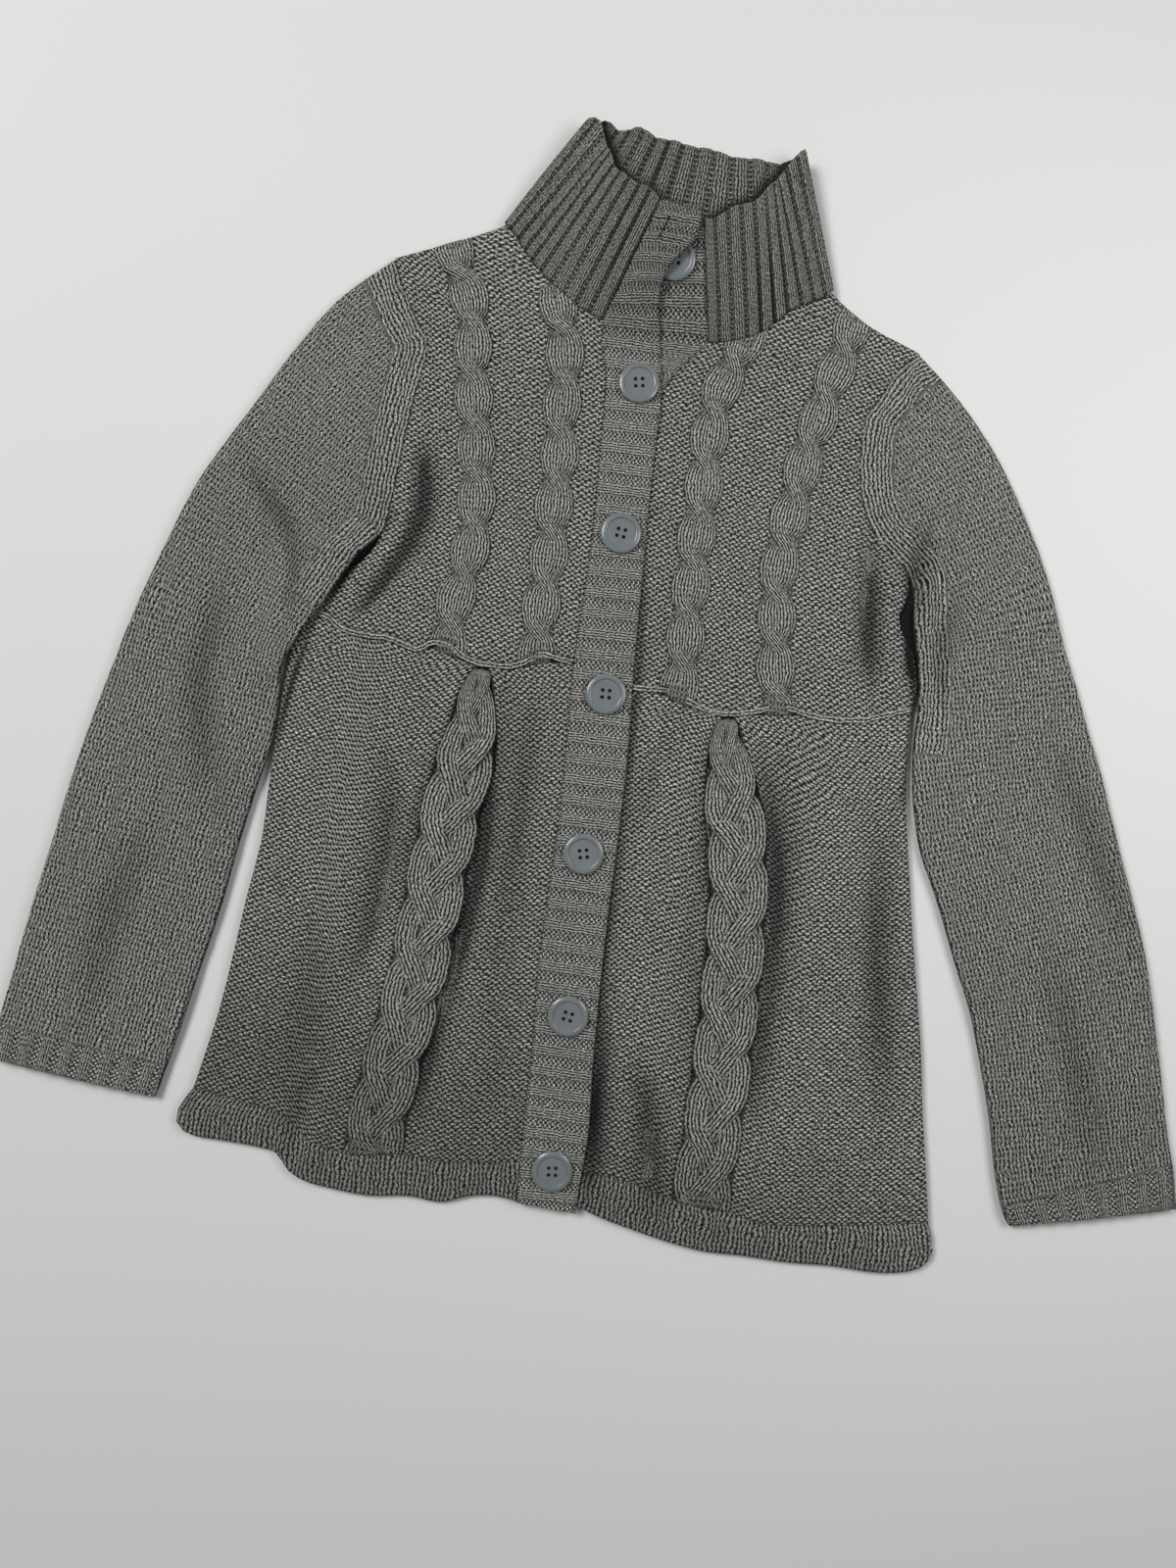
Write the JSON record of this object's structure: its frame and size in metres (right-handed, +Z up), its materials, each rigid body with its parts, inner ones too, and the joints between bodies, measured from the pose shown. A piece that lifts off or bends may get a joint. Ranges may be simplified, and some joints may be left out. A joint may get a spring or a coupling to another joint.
{
  "type": "button cardigan",
  "caption": "Chunky grey knitted button cardigan laid flat, with cabled yoke, plaited skirt panels, deep ribbed standing collar and ribbed button band.",
  "frame": {"origin": "under the middle of the laid-out garment, on the surface that it lies on", "axes": "+X across the garment towards the wearer's left sleeve, +Y from the hem to the collar, +Z up from the surface to the front of the garment"},
  "size_m": [0.828, 0.7618, 0.0298],
  "materials": {
    "knit": "matt marled grey wool-look knit",
    "button": "satin blue-grey"
  },
  "bodies": {
    "root": {"back": "knit", "yoke_right": "knit", "yoke_left": "knit", "skirt_right": "knit", "skirt_left": "knit", "hem_right": "knit", "hem_left": "knit", "hem_back": "knit", "sleeve_right": "knit", "sleeve_left": "knit", "collar": "knit", "band_top": "knit", "band_under": "knit", "button_1": "button", "button_2": "button", "button_3": "button", "button_4": "button", "button_5": "button", "button_6": "button", "button_7": "button"}
  },
  "joints": []
}
